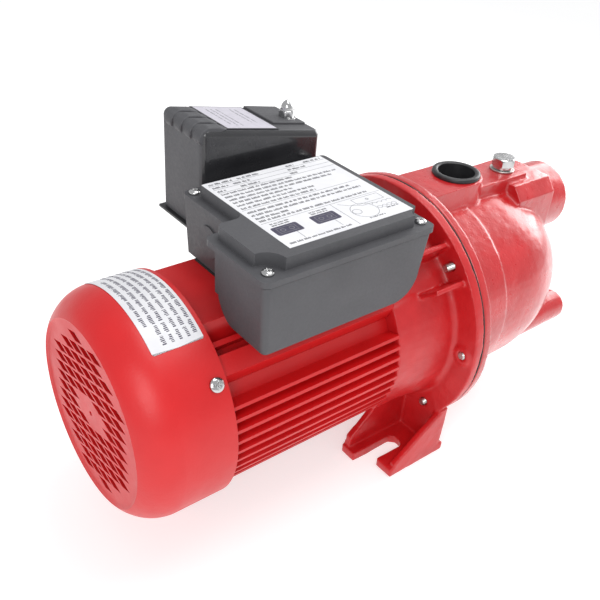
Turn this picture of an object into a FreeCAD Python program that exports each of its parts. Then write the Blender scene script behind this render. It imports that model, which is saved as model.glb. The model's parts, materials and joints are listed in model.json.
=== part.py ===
"""Shallow well jet pump: a finned motor, a cast pump end, a terminal box and a pressure switch.

Every sub-part is drawn in the shaft frame: X runs along the shaft from the joint between the
bracket and the pump casing towards the suction port, and Z is up. Its Placement then lifts it
onto the base plane, so in the finished part z = 0 is the underside of the feet.
"""
import FreeCAD, Part
import math
import os
import re
import Sketcher
from FreeCAD import Placement, Rotation, Vector

DIMENSIONS = [
    ("joint_at", 38.6, "flange joint, forward of the part's origin"),
    ("shaft_height", 100, "shaft above the feet's underside"),
    ("flange_radius", 95, "bracket and casing flanges"),
    ("bracket_flange", 7.6, "thickness of the bracket's flange"),
    ("gasket_thick", 0.8, "casing gasket"),
    ("casing_flange", 7.2, "thickness of the casing's flange"),
    ("bolt_circle", 84.3, "radius of the circle of casing bolts"),
    ("bolt_radius", 3, "M6 casing bolts"),
    ("bolt_clearance", 3.3, "hole round an M6 bolt"),
    ("casing_radius", 74, "pump casing, outside"),
    ("casing_wall", 5, "pump casing"),
    ("dome_start", 75.4, "where the casing starts to round off"),
    ("dome_length", 87.6, "length of the rounded end"),
    ("nose_radius", 60, "radius at the tip of the rounded end"),
    ("suction_height", 47.3, "suction port above the shaft"),
    ("suction_face", 169.2, "face of the suction port"),
    ("suction_boss", 27.9, "radius of the suction boss"),
    ("suction_bore", 19.4, "bore of the 1-1/4 NPT suction thread"),
    ("discharge_at", 53.6, "discharge port along the shaft"),
    ("discharge_top", 90, "face of the discharge port"),
    ("discharge_half", 20, "half width of the discharge block"),
    ("discharge_bore", 15.2, "bore of the 1 NPT discharge thread"),
    ("prime_at", 109, "priming plug along the shaft"),
    ("prime_top", 82, "face under the priming plug"),
    ("prime_half", 15, "half width of the priming platform"),
    ("prime_bore", 6.05, "bore of the priming hole"),
    ("gauge_out", 45, "gauge boss, sideways from the shaft"),
    ("gauge_down", 37.4, "gauge boss, below the shaft"),
    ("gauge_face", 160.8, "face of the gauge boss"),
    ("gauge_boss", 12.8, "radius of the gauge boss"),
    ("gauge_bore", 5.6, "bore of the 1/4 NPT gauge thread"),
    ("bowl_radius", 75, "bracket bowl at the flange"),
    ("bowl_mouth", 70, "bracket bowl at the motor"),
    ("motor_front", 56, "front end of the motor frame, behind the joint"),
    ("motor_rear", 204, "rear end of the motor frame, behind the joint"),
    ("frame_bore", 56, "bore of the motor frame"),
    ("frame_outer", 60, "motor frame under the fins"),
    ("fin_radius", 71, "tips of the fins"),
    ("fin_root", 4.2, "fin thickness at its root"),
    ("fin_tip", 2.2, "fin thickness at its tip"),
    ("pad_height", 63.3, "flat pad on the motor frame"),
    ("pad_half", 32.3, "half width of the pad"),
    ("rod_radius", 2.5, "M5 tie rods"),
    ("cover_radius", 75, "fan cover, outside"),
    ("cover_rim", 189, "open rim of the fan cover"),
    ("cover_screw_at", 196, "cover screws, behind the joint"),
    ("cover_bend", 223, "where the fan cover starts to taper"),
    ("cover_end", 246.4, "rear end of the pump"),
    ("cover_wall", 2, "fan cover"),
    ("grille_radius", 58.4, "flat grille face"),
    ("foot_inner", 36, "inner side of a foot"),
    ("foot_outer", 77.4, "outer side of a foot"),
    ("foot_plate", 7, "thickness of a foot"),
    ("slot_out", 55.5, "foot slot, sideways from the shaft"),
    ("slot_end", 30.5, "centre of the slot's round end"),
    ("slot_radius", 6.5, "half the width of a slot"),
    ("inner_prong", 64, "tip of the inner prong"),
    ("outer_prong", 52.5, "tip of the outer prong"),
    ("web_thick", 5, "webs of the feet"),
    ("box_bottom", 64.5, "underside of the terminal box neck"),
    ("box_top", 103, "rim of the terminal box"),
    ("box_front", 49, "front wall of the terminal box"),
    ("box_left", 174, "rear wall of the box's wide half"),
    ("neck_left", 155, "rear wall of the box's neck"),
    ("box_near", 72, "near side of the box"),
    ("box_step", 24, "where the wide half starts"),
    ("box_far", 40, "far side of the box"),
    ("bulge_bottom", 57.5, "lowest point of the wide half"),
    ("box_wall", 2.6, "terminal box wall"),
    ("lid_top", 116, "top of the lid"),
    ("lid_flange", 108, "top of the lid's flange"),
    ("switch_left", 140, "rear end of the pressure switch"),
    ("switch_right", 45, "front end of the pressure switch"),
    ("switch_near", 43, "near side of the pressure switch"),
    ("switch_far", 94.4, "far side of the pressure switch"),
    ("switch_base", 73, "top of the switch's base plate"),
    ("switch_high", 144, "top of the switch cover at its rear end"),
    ("switch_low", 127, "top of the switch cover at its front end"),
    ("switch_wall", 2, "switch cover wall"),
    ("stud_at", 58, "switch stud, behind the joint"),
    ("switch_middle", 70, "middle of the switch, sideways from the shaft"),
    ("stator_front", 86, "front of the stator core, behind the joint"),
    ("stator_rear", 166, "rear of the stator core, behind the joint"),
    ("rotor_radius", 30, "rotor core"),
    ("air_gap", 0.5, "between rotor and stator"),
    ("impeller_radius", 55, "impeller"),
]
VALUES = {name: number for name, number, _ in DIMENSIONS}

doc = FreeCAD.newDocument("jet_pump")
sheet = doc.addObject("Spreadsheet::Sheet", "dims")
for row, (name, number, meaning) in enumerate(DIMENSIONS, start=1):
    sheet.set(f"A{row}", meaning)
    sheet.set(f"B{row}", str(number))
    sheet.setAlias(f"B{row}", name)
doc.recompute()

SUB_PARTS = []
X_AXIS = Vector(1, 0, 0)


def formula(text):
    """An expression on the sheet's cells, from one that uses their bare names."""
    return re.sub(r"[a-z_]{3,}", lambda m: ("dims." if m.group(0) in VALUES else "") + m.group(0), str(text))


def size(text):
    """The present value of an expression."""
    result = sheet.evalExpression(formula(text))
    return float(getattr(result, "Value", result))


def bind(thing, prop, text):
    thing.setExpression(prop, formula(text))


def place(thing, at=(0, 0, 0), rotation=None):
    """Puts a sub-part at a point of the shaft frame, and lifts it onto the base plane."""
    thing.Placement = Placement(Vector(), rotation or Rotation())
    bind(thing, "Placement.Base.x", f"joint_at + ({at[0]})")
    bind(thing, "Placement.Base.y", f"{at[1]}")
    bind(thing, "Placement.Base.z", f"shaft_height + ({at[2]})")


def keep(label, thing, at=(0, 0, 0), rotation=None):
    if thing.TypeId in ("Part::Cylinder", "Part::Box"):
        thing = joined([thing], "Part::Compound")
    thing.Label = label
    place(thing, at, rotation)
    SUB_PARTS.append(thing)
    return thing


# ---- sketches and PartDesign features ---------------------------------------------------------

def new_body(label, at=(0, 0, 0), rotation=None):
    return keep(label, doc.addObject("PartDesign::Body", label), at, rotation)


def plane_of(body, role):
    return next(f for f in body.Origin.OriginFeatures if f.Role == role)


def new_sketch(body, axis, station=0):
    """A sketch square to an axis of the body, at a station along it."""
    role = {"x": "YZ_Plane", "y": "XZ_Plane", "z": "XY_Plane"}[axis]
    sketch = body.newObject("Sketcher::SketchObject", f"{body.Name}_sketch")
    sketch.AttachmentSupport = (plane_of(body, role), [""])
    sketch.MapMode = "FlatFace"
    if station:
        sign = "-" if axis == "y" else ""
        bind(sketch, "AttachmentOffset.Base.z", f"{sign}({station})")
    return sketch


def constrain(sketch, kind, elements, text):
    index = sketch.addConstraint(Sketcher.Constraint(kind, *elements, size(text)))
    bind(sketch, f"Constraints[{index}]", text)


def arc_between(start, end, radius):
    """The shorter arc between two points: it turns left for a positive radius, right for a negative one."""
    chord = end - start
    half = chord.Length / 2
    rise = abs(radius) - math.sqrt(max(radius * radius - half * half, 0))
    side = Vector(chord.y, -chord.x, 0).normalize() * math.copysign(rise, radius)
    return Part.Arc(start, start + chord * 0.5 + side, end)


def outline(sketch, corners):
    """A closed outline. A corner is (x, y), or (x, y, radius) where an arc leads to the next corner."""
    points = [Vector(size(c[0]), size(c[1]), 0) for c in corners]
    first = sketch.GeometryCount
    ends = []
    for i, corner in enumerate(corners):
        start, end = points[i], points[(i + 1) % len(points)]
        if len(corner) == 2:
            sketch.addGeometry(Part.LineSegment(start, end), False)
            ends.append((1, 2))
        else:
            sketch.addGeometry(arc_between(start, end, size(corner[2])), False)
            ends.append((1, 2) if size(corner[2]) > 0 else (2, 1))
    for i, corner in enumerate(corners):
        after = (i + 1) % len(corners)
        sketch.addConstraint(
            Sketcher.Constraint("Coincident", first + i, ends[i][1], first + after, ends[after][0]))
        constrain(sketch, "DistanceX", (-1, 1, first + i, ends[i][0]), corner[0])
        constrain(sketch, "DistanceY", (-1, 1, first + i, ends[i][0]), corner[1])
        if len(corner) == 3:
            constrain(sketch, "Radius", (first + i,), f"abs({corner[2]})")


def circle(sketch, x, y, radius):
    centre = Vector(size(x), size(y), 0)
    index = sketch.addGeometry(Part.Circle(centre, Vector(0, 0, 1), size(radius)), False)
    constrain(sketch, "DistanceX", (-1, 1, index, 3), x)
    constrain(sketch, "DistanceY", (-1, 1, index, 3), y)
    constrain(sketch, "Radius", (index,), radius)


def revolved(body, corners, axis="x", feature="PartDesign::Revolution"):
    """Turns an outline of (along, radius) corners about the body's own X or Z axis."""
    sketch = new_sketch(body, "z" if axis == "x" else "y")
    flat = corners if axis == "x" else [(c[1], c[0], *[f"-({r})" for r in c[2:]]) for c in corners]
    outline(sketch, flat)
    solid = body.newObject(feature, f"{body.Name}_turned")
    solid.Profile = sketch
    solid.ReferenceAxis = (sketch, ["H_Axis" if axis == "x" else "V_Axis"])
    solid.Angle = 360
    doc.recompute()
    return solid


def turned(label, corners, at=(0, 0, 0), axis="x", rotation=None):
    body = new_body(label, at, rotation)
    revolved(body, corners, axis)
    return body


def ring(label, start, stop, inner, outer, at=(0, 0, 0), axis="x"):
    return turned(label, [(start, inner), (stop, inner), (stop, outer), (start, outer)], at, axis)


def extruded(body, axis, start, stop, corners=(), circles=()):
    """Adds a prism from one station to another along an axis."""
    sketch = new_sketch(body, axis, stop if axis == "y" else start)
    if corners:
        outline(sketch, corners)
    for spot in circles:
        circle(sketch, *spot)
    pad = body.newObject("PartDesign::Pad", f"{body.Name}_pad")
    pad.Profile = sketch
    bind(pad, "Length", f"({stop}) - ({start})")
    doc.recompute()
    return pad


def cut_out(body, axis, start, stop, corners=(), circles=()):
    """Cuts a prism from one station to another along an axis."""
    before = body.Shape.Volume
    sketch = new_sketch(body, axis, start if axis == "y" else stop)
    if corners:
        outline(sketch, corners)
    for spot in circles:
        circle(sketch, *spot)
    pocket = body.newObject("PartDesign::Pocket", f"{body.Name}_pocket")
    pocket.Profile = sketch
    bind(pocket, "Length", f"({stop}) - ({start})")
    doc.recompute()
    if before - body.Shape.Volume < 1e-3:
        raise RuntimeError(f"a pocket of {body.Label} cuts nothing")
    return pocket


def radial_hole(body, angle, start, stop, along, radius):
    """A round hole along a radius from the shaft, at an angle above the near side."""
    sketch = new_sketch(body, "z")
    turn = math.radians(angle)
    outward = Vector(0, -math.cos(turn), math.sin(turn))
    facing = Rotation(X_AXIS, Vector(), outward, "XZY")
    sketch.AttachmentOffset = Placement(outward * stop, facing)
    circle(sketch, along, 0, radius)
    pocket = body.newObject("PartDesign::Pocket", f"{body.Name}_radial")
    pocket.Profile = sketch
    pocket.Length = stop - start
    doc.recompute()
    return pocket


def polar(body, feature, count, angle=360, backwards=False, axis="X_Axis"):
    pattern = body.newObject("PartDesign::PolarPattern", f"{body.Name}_polar")
    pattern.Originals = [feature]
    pattern.Axis = (plane_of(body, axis), [""])
    pattern.Angle = angle
    pattern.Occurrences = count
    pattern.Reversed = backwards
    body.Tip = pattern
    doc.recompute()
    return pattern


def mirrored(body, features):
    """Repeats features on the other side of the shaft."""
    pattern = body.newObject("PartDesign::Mirrored", f"{body.Name}_mirror")
    pattern.Originals = features
    pattern.MirrorPlane = (plane_of(body, "XZ_Plane"), [""])
    body.Tip = pattern
    doc.recompute()
    return pattern


def rounded(body, radius, wanted):
    """Rounds the edges of a body's tip whose middle point passes a test."""
    tip = body.Tip
    names = []
    for number, edge in enumerate(tip.Shape.Edges, start=1):
        middle = edge.valueAt((edge.FirstParameter + edge.LastParameter) / 2)
        if wanted(middle, edge):
            names.append(f"Edge{number}")
    fillet = body.newObject("PartDesign::Fillet", f"{body.Name}_fillet")
    fillet.Base = (tip, names)
    fillet.Radius = radius
    body.Tip = fillet
    doc.recompute()
    return fillet


# ---- Part primitives --------------------------------------------------------------------------

def cylinder(radius, height, at=(0, 0, 0), direction=(0, 0, 1)):
    """A cylinder on a point, along a direction."""
    item = doc.addObject("Part::Cylinder", "cylinder")
    bind(item, "Radius", radius)
    bind(item, "Height", height)
    item.Placement = Placement(Vector(), Rotation(Vector(0, 0, 1), Vector(*direction)))
    for name, text in zip("xyz", at):
        bind(item, f"Placement.Base.{name}", text)
    return item


def hexagon(across_flats, height, at=(0, 0, 0), direction=(0, 0, 1)):
    item = doc.addObject("Part::Prism", "hexagon")
    item.Polygon = 6
    bind(item, "Circumradius", f"({across_flats}) / sqrt(3)")
    bind(item, "Height", height)
    item.Placement = Placement(Vector(), Rotation(Vector(0, 0, 1), Vector(*direction)))
    for name, text in zip("xyz", at):
        bind(item, f"Placement.Base.{name}", text)
    return item


def block(low, high):
    item = doc.addObject("Part::Box", "block")
    for name, side, a, b in zip("xyz", ("Length", "Width", "Height"), low, high):
        bind(item, f"Placement.Base.{name}", a)
        bind(item, side, f"({b}) - ({a})")
    return item


def joined(items, kind="Part::MultiFuse"):
    item = doc.addObject(kind, "joined")
    if kind == "Part::Compound":
        item.Links = items
    else:
        item.Shapes = items
    return item


def less(base, tool):
    item = doc.addObject("Part::Cut", "less")
    item.Base = base
    item.Tool = tool
    return item


def group(label, items, at=(0, 0, 0)):
    """Identical pieces, as separate solids of one sub-part."""
    return keep(label, joined(items, "Part::Compound"), at)


def drawn(label, shape, at=(0, 0, 0)):
    """A sub-part whose shape comes from Part's own functions."""
    item = doc.addObject("Part::Feature", label)
    item.Shape = Part.makeCompound([shape])
    return keep(label, item, at)


def bolt_spots(radius):
    """Circles round the casing bolts, in a sketch square to the shaft."""
    turns = [math.radians(angle) for angle in BOLT_ANGLES]
    return [(f"-bolt_circle * {math.cos(t):.6f}", f"bolt_circle * {math.sin(t):.6f}", radius) for t in turns]


def spin_place(angle, radius, along):
    """The point at an angle above the near side (-Y), a radius from the shaft and a station along it."""
    turn = math.radians(angle)
    return (along, f"-({radius}) * {math.cos(turn):.6f}", f"({radius}) * {math.sin(turn):.6f}")


# ---- pump end ---------------------------------------------------------------------------------

BOLT_ANGLES = (0, 45, 135, 180, 225, 315)
BOLT_TIPS = {0: 1.7, 45: 6, 135: 6, 180: 1.7, 225: 2.4, 315: 2.4}
SHOULDER = ("((dome_length - nose_radius)^2 + (casing_radius)^2 - nose_radius^2)"
            " / (2 * (casing_radius - nose_radius))")


def casing_profile(inset):
    """Half outline of the casing from its flange to its tip, set in from the outside by a wall."""
    radius = f"(casing_radius - {inset})"
    shoulder = f"({SHOULDER} - {inset})"
    nose = f"(nose_radius - {inset})"
    tip = f"(dome_start + dome_length - {inset})"
    centre = "(dome_start + dome_length - nose_radius)"
    reach = f"({SHOULDER} - nose_radius)"
    meet_x = f"({centre} + {nose} * (dome_length - nose_radius) / {reach})"
    meet_r = f"({nose} * ({SHOULDER} - casing_radius) / {reach})"
    return [("dome_start", radius, f"-{shoulder}"), (meet_x, meet_r, f"-{nose}"), (tip, 0)]


def pump_casing():
    face = "gasket_thick"
    back = "(gasket_thick + casing_flange)"
    body = new_body("pump_casing")
    flange = [(face, 0), (face, "flange_radius"), (back, "flange_radius"), (back, "casing_radius + 2.6"),
              (48.5, "casing_radius + 1.5"), (48.5, "casing_radius")]
    revolved(body, flange + casing_profile(0))
    top = "discharge_top"
    half = "discharge_half"
    extruded(body, "z", 45, top, [
        (7, f"-{half}"), ("discharge_at", f"-{half}", half), ("discharge_at + discharge_half", 0, half),
        ("discharge_at", half), (7, half)])
    extruded(body, "z", 45, "prime_top", [
        (60, "-prime_half"), ("prime_at + 13", "-prime_half"), ("prime_at + 13", "prime_half"),
        (60, "prime_half")])
    extruded(body, "x", 100, 143, [(-30, 20), (30, 20), (30, 68), (22, 78), (-22, 78), (-30, 68)])
    extruded(body, "x", 60, "suction_face", circles=[(0, "suction_height", "suction_boss")])
    extruded(body, "x", 60, "gauge_face", circles=[("-gauge_out", "-gauge_down", "gauge_boss")])
    extruded(body, "y", 45, 66, circles=[(62, 40, 11)])
    inner = casing_profile("casing_wall")
    revolved(body, [(0, 0), (0, "casing_radius - casing_wall")] + inner, feature="PartDesign::Groove")
    cut_out(body, "x", 128, "suction_face + 1", circles=[(0, "suction_height", "suction_bore")])
    cut_out(body, "z", 60, "discharge_top + 1", circles=[("discharge_at", 0, "discharge_bore")])
    cut_out(body, "z", 50, "prime_top + 1", circles=[("prime_at", 0, "prime_bore")])
    cut_out(body, "x", 90, "gauge_face + 1", circles=[("-gauge_out", "-gauge_down", "gauge_bore")])
    cut_out(body, "y", 40, 67, circles=[(62, 40, 5)])
    cut_out(body, "x", 0, "gasket_thick + casing_flange + 6", circles=bolt_spots("bolt_clearance"))


def pump_fasteners():
    bolts = []
    head = "gasket_thick + casing_flange"
    for angle in BOLT_ANGLES:
        tip = f"-(bracket_flange + {BOLT_TIPS[angle]})"
        shank = cylinder("bolt_radius", f"{head} - ({tip})", spin_place(angle, "bolt_circle", tip), (1, 0, 0))
        hexagonal = hexagon(10, 4, spin_place(angle, "bolt_circle", head), (1, 0, 0))
        bolts.append(joined([shank, hexagonal]))
    group("casing_bolts", bolts)


def casing_gasket():
    body = new_body("casing_gasket")
    extruded(body, "x", 0, "gasket_thick", circles=[(0, 0, "flange_radius - 0.4"), (0, 0, "casing_radius - 4")])
    cut_out(body, "x", "-1", "gasket_thick + 1", circles=bolt_spots("bolt_clearance"))


def pump_plugs():
    """The priming plug, its washer, the moulded shipping plug and the gauge port's plug."""
    turned("discharge_shipping_plug", [
        (-13, 0), (-13, 15.0), (0, 15.1), (0, 18), (2.6, 18), (3, 17.4), (3, 14), (-11, 13.4), (-11, 0)],
        ("discharge_at", 0, "discharge_top"), "z")
    ring("prime_plug_washer", 0, 1.4, 6.4, 9.6, ("prime_at", 0, "prime_top"), "z")
    neck = cylinder(6, 14, (0, 0, -12))
    collar = cylinder(7.8, 3, (0, 0, 1.4))
    head = hexagon(17, 6.2, (0, 0, 4.4))
    keep("prime_plug", joined([neck, collar, head]), ("prime_at", 0, "prime_top"))
    plug = cylinder("gauge_bore", 12, ("gauge_face - 15", 0, 0), (1, 0, 0))
    square = block(("gauge_face - 8", -2.5, -2.5), ("gauge_face - 2", 2.5, 2.5))
    keep("gauge_port_plug", less(plug, square), (0, "-gauge_out", "-gauge_down"))


# ---- bracket with the feet --------------------------------------------------------------------

ROD_SPOTS = ((-49, -44.2), (49, -44.2), (-50.6, 42.4), (50.6, 42.4))


def rod_holes():
    """Circles round the tie rods, in a sketch square to the shaft."""
    return [(y, z, "rod_radius") for y, z in ROD_SPOTS]


def radial_strip(angle, start, stop, half):
    """A strip along a radius at an angle above the near side, in a sketch square to the shaft."""
    turn = math.radians(angle)
    out = Vector(-math.cos(turn), math.sin(turn), 0)
    side = Vector(-out.y, out.x, 0)
    corners = [out * start - side * half, out * stop - side * half, out * stop + side * half,
        out * start + side * half]
    return [(round(c.x, 4), round(c.y, 4)) for c in corners]


def motor_bracket():
    body = new_body("motor_bracket")
    revolved(body, [
        ("-motor_front", "frame_bore + 1"), ("-motor_front", "bowl_mouth"),
        ("-bracket_flange - 3", "bowl_radius"),
        ("-bracket_flange", "bowl_radius + 2"), ("-bracket_flange", "flange_radius"), (0, "flange_radius"),
        (0, 62), (-5, 62), (-5, 14.5), (-16, 14.5), (-16, 12), (-28, 12), (-28, 20), (-40, 20), (-40, 27),
        (-14, 27), (-14, 60), (-20, 66), (-49, 65), (-49, "frame_bore + 1")])
    base = "-shaft_height"
    plate_top = "foot_plate - shaft_height"
    sole = extruded(body, "z", base, plate_top, [
        ("-outer_prong", "-foot_outer"), (3, "-foot_outer"), (3, "-foot_inner"),
        ("-inner_prong", "-foot_inner"),
        ("-inner_prong", "-slot_out + slot_radius"), ("-slot_end", "-slot_out + slot_radius", "-slot_radius"),
        ("-slot_end + slot_radius", "-slot_out", "-slot_radius"),
        ("-slot_end", "-slot_out - slot_radius"), ("-outer_prong", "-slot_out - slot_radius")])
    wall = extruded(body, "x", "-bracket_flange", 0, [
        ("-foot_inner", base), ("-foot_outer + 1", base), ("-foot_outer - 0.6", -57), (-60, -60),
        ("-foot_inner", -72)])
    outer_web = extruded(body, "y", "-foot_outer", "web_thick - foot_outer", [
        (-49, plate_top), (-49, -90), ("-bracket_flange - 2", -61), (-3, -58), (-3, plate_top)])
    inner_web = extruded(body, "y", "-foot_inner - web_thick", "-foot_inner", [
        (-62, plate_top), (-61, -85), (-43, -68), (-36, -58), (-14, -64), (-3, -68), (-3, plate_top)])
    lug = extruded(body, "x", "-motor_front", -16, circles=[(-49, -44.2, 6.5)])
    mirrored(body, [sole, wall, outer_web, inner_web, lug])
    high_lug = extruded(body, "x", "-motor_front", -16, circles=[(-50.6, 42.4, 6.5)])
    side_boss = extruded(body, "x", "-bracket_flange - 1.4", "-bracket_flange",
        circles=[("-bolt_circle", 0, 7)])
    ribs = [extruded(body, "x", -34, "-bracket_flange",
        radial_strip(angle, 68, 91, 1.8)) for angle in (36.5, 54.5)]
    mirrored(body, [high_lug, side_boss] + ribs)
    cut_out(body, "x", "-bracket_flange - 8", 1, circles=bolt_spots("bolt_radius"))
    cut_out(body, "x", "-motor_front - 1", -36, circles=rod_holes())


# ---- motor ------------------------------------------------------------------------------------

FIN_PITCH = 110 / 17


def motor_frame():
    body = new_body("motor_frame")
    rear, front = "-motor_rear", "-motor_front"
    extruded(body, "x", rear, front, circles=[(0, 0, "frame_outer")])
    fin = extruded(body, "x", rear, front, [
        ("-fin_root / 2", "1 - frame_outer"), ("fin_root / 2", "1 - frame_outer"),
        ("fin_tip / 2", "-fin_radius"), ("-fin_tip / 2", "-fin_radius")])
    polar(body, fin, 18, 17 * FIN_PITCH)
    other = extruded(body, "x", rear, front, [
        ("-fin_root / 2", "1 - frame_outer"), ("fin_root / 2", "1 - frame_outer"),
        ("fin_tip / 2", "-fin_radius"), ("-fin_tip / 2", "-fin_radius")])
    polar(body, other, 18, 17 * FIN_PITCH, backwards=True)
    extruded(body, "x", rear, front, [
        ("-pad_half", "pad_height"), (-36, 44), (36, 44), ("pad_half", "pad_height")])
    lobe = extruded(body, "x", rear, front, [(-57.8, 42.6), (-49.4, 51.4), (-42, 40), (-52, 31)])
    low_lobe = extruded(body, "x", rear, front, [(-55.4, -44.6), (-46.8, -52.4), (-40, -42), (-48, -34)])
    thin = extruded(body, "x", rear, front, [(-44, 53.5), (-41.5, 55.5), (-34.5, 46), (-37, 44)])
    mirrored(body, [lobe, low_lobe, thin])
    for angle in COVER_SCREW_ANGLES:
        extruded(body, "x", rear, "14 - motor_rear", radial_strip(angle, 58, 72.3, 6.5))
        radial_hole(body, angle, 64.5, 73.5, "-cover_screw_at", 2.5)
    cut_out(body, "x", "-motor_rear - 1", "1 - motor_front", circles=[(0, 0, "frame_bore")])
    cut_out(body, "x", "-motor_rear - 1", "1 - motor_front", circles=rod_holes())
    cut_out(body, "z", 50, "pad_height + 1", circles=[(-104, 0, 7)])


def rear_end_bell():
    body = new_body("rear_end_bell")
    rear = "-motor_rear"
    revolved(body, [
        ("-motor_rear - 12", 11), ("-motor_rear - 12", 24), ("-motor_rear - 6", 26), ("-motor_rear - 6", 71.4),
        (rear, 71.4), (rear, "frame_bore"), ("4 - motor_rear", "frame_bore"), ("4 - motor_rear", 52),
        (rear, 52),
        (rear, 26), ("1 - motor_rear", 24), ("1 - motor_rear", 17.5), ("-motor_rear - 10", 17.5),
        ("-motor_rear - 10", 11)])
    cut_out(body, "x", "-motor_rear - 7", "1 - motor_rear", circles=rod_holes())
    vent = cut_out(body, "x", "-motor_rear - 7", "1 - motor_rear", circles=[(0, 39, 6)])
    polar(body, vent, 8)


def tie_rods():
    rods = []
    for y, z in ROD_SPOTS:
        start = "-motor_rear - 6"
        rod = cylinder("rod_radius", "motor_rear - 38 + 6", (start, y, z), (1, 0, 0))
        head = hexagon(8, 3.5, ("-motor_rear - 9.5", y, z), (1, 0, 0))
        rods.append(joined([rod, head]))
    group("tie_rods", rods)


COVER_SCREW_ANGLES = (34.9, 145.1, 270)
SLOT_PITCH_UP = 7.6
SLOT_PITCH_ACROSS = 12.4
SLOT_HEIGHT = 5.9
SLOT_WIDTH = 19.3


def grille_slots(start, stop):
    """Staggered pointed slots that fill the grille, clear of its hub, as solids to cut away."""
    reach = size("grille_radius") - 2.4
    columns = int(reach / SLOT_PITCH_ACROSS)
    rows = int(reach / SLOT_PITCH_UP) + 1
    high, wide = SLOT_HEIGHT / 2, SLOT_WIDTH / 2
    slots = []
    for column in range(-columns, columns + 1):
        for step in range(-2 * rows, 2 * rows + 1):
            if (column + step) % 2:
                continue
            y = column * SLOT_PITCH_ACROSS
            z = step * SLOT_PITCH_UP / 2
            far = max(math.hypot(y, abs(z) + high), math.hypot(abs(y) + wide, z))
            if far > reach or math.hypot(y / 18, z / 9) < 1:
                continue
            corners = [(y, z - high), (y + wide, z), (y, z + high), (y - wide, z)]
            loop = Part.makePolygon([Vector(start, a, b) for a, b in corners + corners[:1]])
            slots.append(Part.Face(loop).extrude(X_AXIS * (stop - start)))
    return Part.makeCompound(slots)


def fan_cover():
    """A turned shell with a curved shoulder; its grille is one pattern of cuts, so it is made by Part."""
    rim, bend, end = -size("cover_rim"), -size("cover_bend"), -size("cover_end")
    outer, wall, flat = size("cover_radius"), size("cover_wall"), size("grille_radius")
    lip = 2.4
    step = 1.5
    corner = Vector(end + 5, flat + 8.6, 0)
    outside = [
        Part.LineSegment(Vector(rim, outer, 0), Vector(bend, outer, 0)),
        Part.Arc(Vector(bend, outer, 0), Vector(bend - 10, outer - 2.4, 0), corner),
        Part.Arc(corner, Vector(end + 2.2, flat + 5.7, 0), Vector(end, flat + lip, 0)),
        Part.LineSegment(Vector(end, flat + lip, 0), Vector(end + step, flat, 0)),
        Part.LineSegment(Vector(end + step, flat, 0), Vector(end + step, 0, 0)),
        Part.LineSegment(Vector(end + step, 0, 0), Vector(end + step + wall, 0, 0)),
        Part.LineSegment(Vector(end + step + wall, 0, 0), Vector(end + step + wall, flat + 1, 0)),
        Part.LineSegment(Vector(end + step + wall, flat + 1, 0), Vector(corner.x + 1.4, corner.y - 1.6, 0)),
        Part.Arc(Vector(corner.x + 1.4, corner.y - 1.6, 0), Vector(bend - 9.4, outer - wall - 2.3, 0),
                 Vector(bend, outer - wall, 0)),
        Part.LineSegment(Vector(bend, outer - wall, 0), Vector(rim, outer - wall, 0)),
        Part.LineSegment(Vector(rim, outer - wall, 0), Vector(rim, outer, 0)),
    ]
    wire = Part.Wire([piece.toShape() for piece in outside])
    shell = Part.Face(wire).revolve(Vector(), X_AXIS, 360)
    shell = shell.cut(grille_slots(end - 1, end + step + wall + 1))
    shell = shell.cut(Part.makeCylinder(1.6, 8, Vector(end - 1, 0, 0), X_AXIS))
    for angle in COVER_SCREW_ANGLES:
        turn = math.radians(angle)
        direction = Vector(0, -math.cos(turn), math.sin(turn))
        start = Vector(-size("cover_screw_at"), 0, 0) + direction * (outer - 6)
        hole = Part.makeCylinder(2.6, 10, start, direction)
        shell = shell.cut(hole)
    drawn("fan_cover", shell)


def cover_screws():
    screws = []
    for angle in COVER_SCREW_ANGLES:
        turn = math.radians(angle)
        out = (0, -math.cos(turn), math.sin(turn))
        shank = cylinder(2.5, 10, spin_place(angle, "cover_radius - 10", "-cover_screw_at"), out)
        head = cylinder(4.3, 2.6, spin_place(angle, "cover_radius", "-cover_screw_at"), out)
        screws.append(joined([shank, head]))
    group("cover_screws", screws)


def cooling_fan():
    body = new_body("cooling_fan")
    revolved(body, [(-239, 6.5), (-220, 6.5), (-220, 60), (-222, 60), (-222, 15), (-239, 13)])
    blade = extruded(body, "x", -237, -221, [(-1.1, 13), (1.1, 13), (1.1, 58), (-1.1, 58)])
    polar(body, blade, 9)


def shaft_parts():
    turned("motor_shaft", [
        (-241, 0), (-241, 6.5), (-216, 6.5), (-216, 7.5), (-203, 7.5), (-203, 10), (-40, 10), (-40, 8.5),
        (-28, 8.5),
        (-28, 8), (12, 8), (12, 6), (44, 6), (44, 0)])
    ring("water_slinger", -26, -22, 8, 11.2)


BEARINGS = ((-40, -28, 8.5, 20), (-214, -203, 7.5, 17.5))
BALLS = 8


def turned_ring(corners):
    """A solid of revolution about the shaft, from (along, radius) corners and arcs given by a point on them."""
    edges = []
    for i, corner in enumerate(corners):
        after = corners[(i + 1) % len(corners)]
        start, end = Vector(corner[0], corner[1], 0), Vector(after[0], after[1], 0)
        if len(corner) == 2:
            edges.append(Part.LineSegment(start, end).toShape())
        else:
            edges.append(Part.Arc(start, Vector(corner[2], corner[3], 0), end).toShape())
    return Part.Face(Part.Wire(edges)).revolve(Vector(), X_AXIS, 360)


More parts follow.
